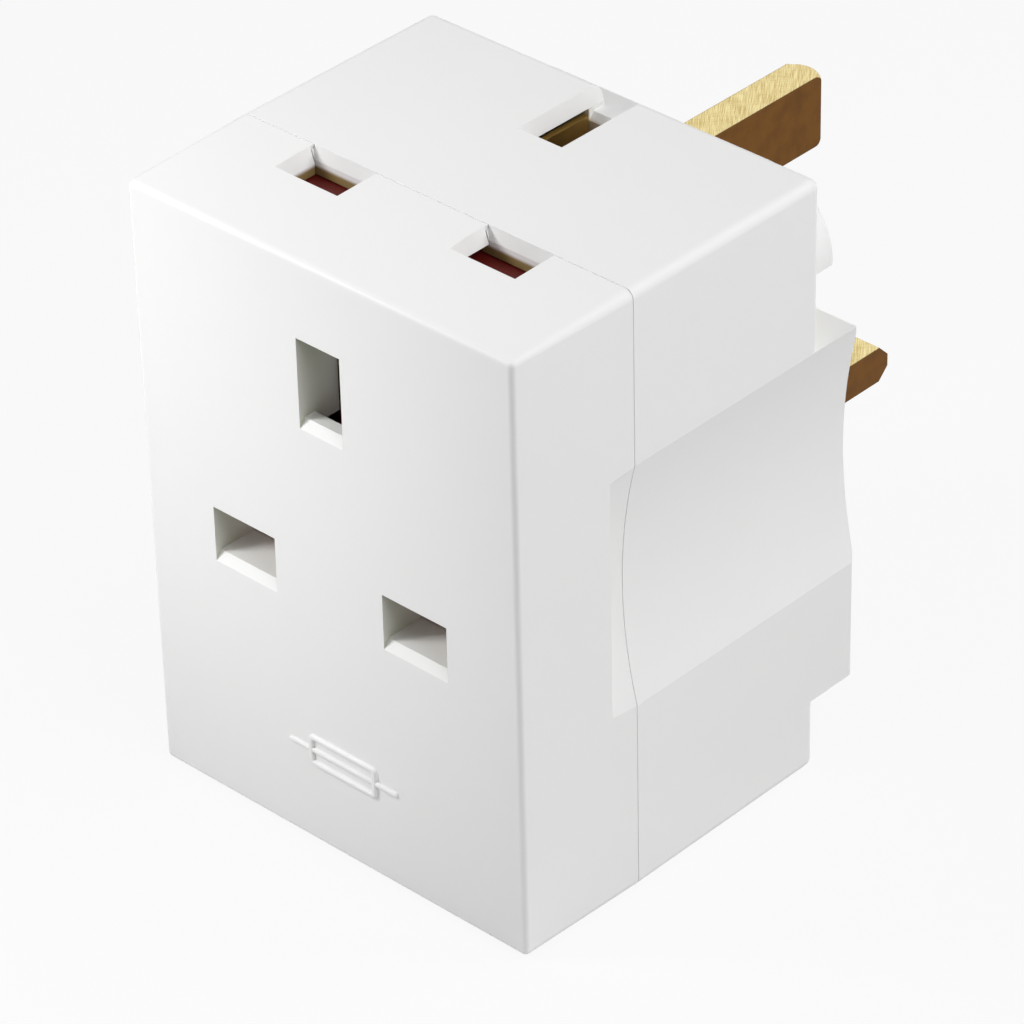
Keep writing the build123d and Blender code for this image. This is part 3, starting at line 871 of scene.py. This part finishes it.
@dataclass
class Shutters:
    """The red shutters behind the three faces, with their springs."""

    plastic: MouldedPlastic = MouldedPlastic(
        # Dark red, then a darker painted shade for closed-in walls, then a lighter painted shade for their
        # upward floors.
        "shutter_plastic", (0.115, 0.006, 0.004, 1.0), (0.06, 0.004, 0.003, 1.0), (0.10, 0.006, 0.004, 1.0),
        roughness=0.5, mottle=0.08,
    )
    steel: RolledMetal = RolledMetal(
        "spring_leaf", (0.55, 0.56, 0.58, 1.0), (0.33, 0.32, 0.31, 1.0), 0.26, Axis.X
    )
    springs: Tuple[BowSpring, ...] = (
        BowSpring("front", Axis.Z, Axis.Y),
        BowSpring("top", Axis.Y, Axis.Z),
        BowSpring("bottom", Axis.Y, Axis.Z),
    )

    def build(self) -> None:
        """Dress the shutters and bow their springs."""
        dress(self.plastic.material(), "front_shutter", "top_shutter", "bottom_shutter")
        steel = self.steel.material()
        for spring in self.springs:
            log.info("%s: in place of its solid", spring.build(steel).name)


@dataclass
class Contacts:
    """The folded brass bars and clips inside."""

    brass: RolledMetal = RolledMetal(
        "contact_brass", (0.66, 0.47, 0.17, 1.0), (0.40, 0.29, 0.11, 1.0), 0.3
    )

    def build(self) -> None:
        """Dress the bars and clips."""
        brass = self.brass.material()
        dress(brass, "line_bar", "neutral_bar", "earth_bar", "line_fuse_clip", "load_fuse_clip")


@dataclass
class FuseHolder:
    """The cartridge fuse and the carrier that draws out at the back."""

    ceramic: GlazedCeramic = GlazedCeramic("fuse_glaze")
    caps: RolledMetal = RolledMetal(
        "cap_nickel", (0.68, 0.67, 0.64, 1.0), (0.48, 0.46, 0.43, 1.0), 0.2, Axis.X
    )
    carrier: MouldedPlastic = MouldedPlastic(
        # Pale grey, then an olive painted shade for closed-in walls, then a lighter painted shade for their
        # upward floors.
        "carrier_satin", (0.70, 0.70, 0.68, 1.0), (0.25, 0.23, 0.16, 1.0), (0.66, 0.66, 0.63, 1.0),
        roughness=0.42,
    )

    def build(self) -> None:
        """Dress the fuse and its carrier."""
        dress(self.ceramic.material(), "fuse_barrel")
        dress(self.caps.material(), "fuse_end_caps")
        dress(self.carrier.material(), "fuse_carrier")


@dataclass
class Screws:
    """The four cross-recessed screws that draw the two mouldings together."""

    core: float = 0.94 * MM
    thread: float = 1.25 * MM
    thread_pitch: float = 1.06 * MM
    head: float = 2.25 * MM
    head_height: float = 1.8 * MM
    head_profile: Tuple[Pair, ...] = ((1.0, 0.0), (1.0, 0.45), (0.97, 0.66), (0.86, 0.86), (0.66, 0.97))
    rows_per_turn: int = 8
    crest_share: float = 0.5
    point_share: float = 0.3
    recess_reach: float = 1.3 * MM
    recess_width: float = 0.62 * MM
    recess_depth: float = 1.15 * MM
    recess_taper: float = 0.62
    steps: int = 32
    steel: RolledMetal = RolledMetal(
        "screw_zinc", (0.62, 0.62, 0.60, 1.0), (0.40, 0.38, 0.33, 1.0), 0.28, Axis.X
    )

    def recess_outline(self, place: Pair, crown: float) -> List[Vector]:
        """The outline of the cross recess, round the screw's axis.

        Args:
            place: The screw's place across the adapter, as X and Z.
            crown: Where the head's crown is, along Y.

        Returns:
            Twelve corners, in order.
        """
        reach, half = self.recess_reach, self.recess_width / 2
        corners = []
        for quarter in range(QUARTERS):
            turn = Matrix.Rotation(QUARTER_TURN * quarter, 3, "Y")
            for x, z in ((half, half), (half, reach), (-half, reach)):
                corners.append(turn @ Vector((x, 0.0, z)) + Vector((place[0], crown, place[1])))
        return corners

    def shank_radius(self, from_tip: float, from_seat: float, turned: float) -> float:
        """The radius of the threaded shank.

        Args:
            from_tip: How far the point is from the screw's tip.
            from_seat: How far the point is from the head.
            turned: The share of a turn that the point stands at.

        Returns:
            The radius, on the core or up on the thread.
        """
        phase = (from_tip / self.thread_pitch + turned) % 1.0
        crest = max(0.0, 1.0 - abs(2.0 * phase - 1.0) / self.crest_share)
        run = min(1.0, from_tip / self.thread_pitch, from_seat / self.thread_pitch)
        taper = min(1.0, self.point_share + (1.0 - self.point_share) * from_tip / self.thread_pitch)
        return taper * (self.core + (self.thread - self.core) * crest * run)

    def screw(self, piece: Piece, place: Pair, tip: float, crown: float) -> None:
        """Add one screw to the piece.

        Args:
            piece: The piece that holds all four.
            place: The screw's place across the adapter, as X and Z.
            tip: Where its point is, along Y.
            crown: Where its head's crown is, along Y.
        """
        centre, along = Vector((place[0], 0.0, place[1])), Axis.Y.vector()
        seat = crown - self.head_height
        length = seat - tip
        count = round(length / self.thread_pitch * self.rows_per_turn)
        turns = [step / self.steps for step in range(self.steps)]
        rings = []
        for row in range(count + 1):
            height = length * row / count
            radii = [self.shank_radius(height, length - height, turned) for turned in turns]
            rings.append((tip + height, radii))
        for radius, height in self.head_profile:
            rings.append((seat + height * self.head_height, [radius * self.head] * self.steps))
        rows = []
        for height, radii in rings:
            ring = []
            for turned, radius in zip(turns, radii):
                side = Vector((math.cos(math.tau * turned), 0.0, math.sin(math.tau * turned)))
                ring.append(piece.mesh.verts.new(centre + along * height + side * radius))
            rows.append(ring)
        piece.quads(rows)
        piece.mesh.faces.new(rows[0])
        mouth = [piece.mesh.verts.new(corner) for corner in self.recess_outline(place, crown)]
        middle = centre + along * crown
        sunk = middle - along * self.recess_depth
        floor = [piece.mesh.verts.new(sunk + (corner.co - middle) * self.recess_taper) for corner in mouth]
        piece.quads([mouth, floor])
        piece.mesh.faces.new(floor)
        bmesh.ops.bridge_loops(piece.mesh, edges=piece.round_edges(rows[-1]) + piece.round_edges(mouth))

    def build(self) -> None:
        """Cut the four screws in place of their solids."""
        low, high = (Vector(corner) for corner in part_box("assembly_screws"))
        piece = Piece("cross_screws", Slot.SCREW, "housing")
        for x in (low.x + self.head, high.x - self.head):
            for z in (low.z + self.head, high.z - self.head):
                self.screw(piece, (x, z), low.y, high.y)
        made = piece.finished(self.steel.material())
        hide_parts("assembly_screws")
        log.info("%s: in place of their solids", made.name)


@dataclass(frozen=True)
class Lamp:
    """A soft square lamp that looks at the adapter."""

    name: str
    place: Point
    size: float
    power: float

    def build(self, target: Vector) -> None:
        """Hang the lamp.

        Args:
            target: The point that it looks at.
        """
        data = bpy.data.lights.new(self.name, "AREA")
        data.shape = "SQUARE"
        data.size = self.size
        data.energy = self.power
        made = bpy.data.objects.new(self.name, data)
        made.location = self.place
        made.rotation_euler = (target - made.location).to_track_quat("-Z", "Y").to_euler()
        bpy.context.scene.collection.objects.link(made)


@dataclass
class Studio:
    """The pale floor, the soft light and the camera."""

    eye: Point = (0.293374, -0.330564, 0.283499)
    look: Point = (-0.57188, 0.59881, -0.56070)
    roll: float = math.radians(-1.504)
    focal_pixels: float = 5301.7
    centre_pixels: Pair = (504.12, 514.62)
    image_pixels: float = 1024.0
    sensor: float = 36.0
    nearest: float = 0.01
    floor_half: float = 3.0
    floor_colour: Colour = (0.60, 0.60, 0.60, 1.0)
    floor_share: float = 0.90
    sky: float = 0.10
    target: Point = (0.0, -0.027, 0.0)
    lamps: Tuple[Lamp, ...] = (
        Lamp("key_lamp", (-0.098, -0.151, 0.113), 0.05, 0.203),
        Lamp("near_lamp", (-0.024, -0.100, 0.010), 0.05, 0.0090),
        Lamp("right_lamp", (0.45, -0.10, 0.45), 0.35, 1.32),
        Lamp("low_right_lamp", (0.60, -0.04, 0.20), 0.35, 0.60),
        Lamp("back_lamp", (0.28, 0.323, 0.515), 0.35, 2.00),
    )

    def camera(self) -> None:
        """Set the camera where the photograph was taken from."""
        look = Vector(self.look).normalized()
        right = look.cross(Axis.Z.vector()).normalized()
        upward = right.cross(look)
        across = right * math.cos(self.roll) + upward * math.sin(self.roll)
        upright = upward * math.cos(self.roll) - right * math.sin(self.roll)
        data = bpy.data.cameras.new("camera")
        data.sensor_width = self.sensor
        data.lens = self.focal_pixels / self.image_pixels * self.sensor
        data.shift_x = 0.5 - self.centre_pixels[0] / self.image_pixels
        data.shift_y = self.centre_pixels[1] / self.image_pixels - 0.5
        data.clip_start = self.nearest
        made = bpy.data.objects.new("camera", data)
        turn = Matrix((across, upright, -look)).transposed().to_4x4()
        made.matrix_world = Matrix.Translation(self.eye) @ turn
        bpy.context.scene.collection.objects.link(made)
        bpy.context.scene.camera = made

    def seen_white(self, sheet: NodeSheet) -> Value:
        """Where the camera, a gloss or a clear piece looks straight at the background.

        Args:
            sheet: The nodes of the floor or the sky.

        Returns:
            1 there, and 0 where the background only gives light.
        """
        path = sheet.node("ShaderNodeLightPath", {}, {})
        ways = ("Camera", "Glossy", "Transmission")
        camera, gloss, clear = (Value(sheet, path.outputs[f"Is {way} Ray"]) for way in ways)
        return (camera + gloss + clear).at_most(1.0)

    def floor(self) -> None:
        """Lay the floor, which looks white and still takes the adapter's shadow."""
        material = bpy.data.materials.new("floor_white")
        material.use_nodes = True
        sheet = NodeSheet(material.node_tree)
        matt = sheet.value("ShaderNodeBsdfDiffuse", {}, {"Color": self.floor_colour})
        glow = sheet.value("ShaderNodeEmission", {}, {"Color": WHITE, "Strength": 1.0})
        share = self.seen_white(sheet) * self.floor_share
        both = sheet.value("ShaderNodeMixShader", {}, {0: share, 1: matt, 2: glow})
        sheet.node("ShaderNodeOutputMaterial", {}, {"Surface": both})
        mesh = bmesh.new()
        height, half = cad_box[0].z, self.floor_half
        corners = ((-half, -half), (half, -half), (half, half), (-half, half))
        mesh.faces.new([mesh.verts.new((x, y, height)) for x, y in corners])
        data = bpy.data.meshes.new("floor")
        mesh.to_mesh(data)
        mesh.free()
        data.materials.append(material)
        made = bpy.data.objects.new("floor", data)
        bpy.context.scene.collection.objects.link(made)

    def sky_light(self) -> None:
        """Surround the studio with even light, which the camera sees as white."""
        world = bpy.data.worlds.new("studio_sky")
        world.use_nodes = True
        sheet = NodeSheet(world.node_tree)
        dim = sheet.value("ShaderNodeBackground", {}, {"Color": WHITE, "Strength": self.sky})
        full = sheet.value("ShaderNodeBackground", {}, {"Color": WHITE, "Strength": 1.0})
        both = sheet.value("ShaderNodeMixShader", {}, {0: self.seen_white(sheet), 1: dim, 2: full})
        sheet.node("ShaderNodeOutputWorld", {}, {"Surface": both})
        bpy.context.scene.world = world

    def build(self) -> None:
        """Set the studio up."""
        self.camera()
        self.floor()
        self.sky_light()
        for lamp in self.lamps:
            lamp.build(Vector(self.target))
        bpy.context.scene.view_settings.view_transform = "Standard"


def main() -> None:
    """Build the adapter's looks in order and log each part once it is built."""
    logging.basicConfig(level=logging.INFO, format="%(name)s: %(message)s")
    for part in (Shell(), Plug(), Shutters(), Contacts(), FuseHolder(), Screws(), Studio()):
        part.build()
        log.info("%s is built", type(part).__name__)


if __name__ == "__main__":
    main()
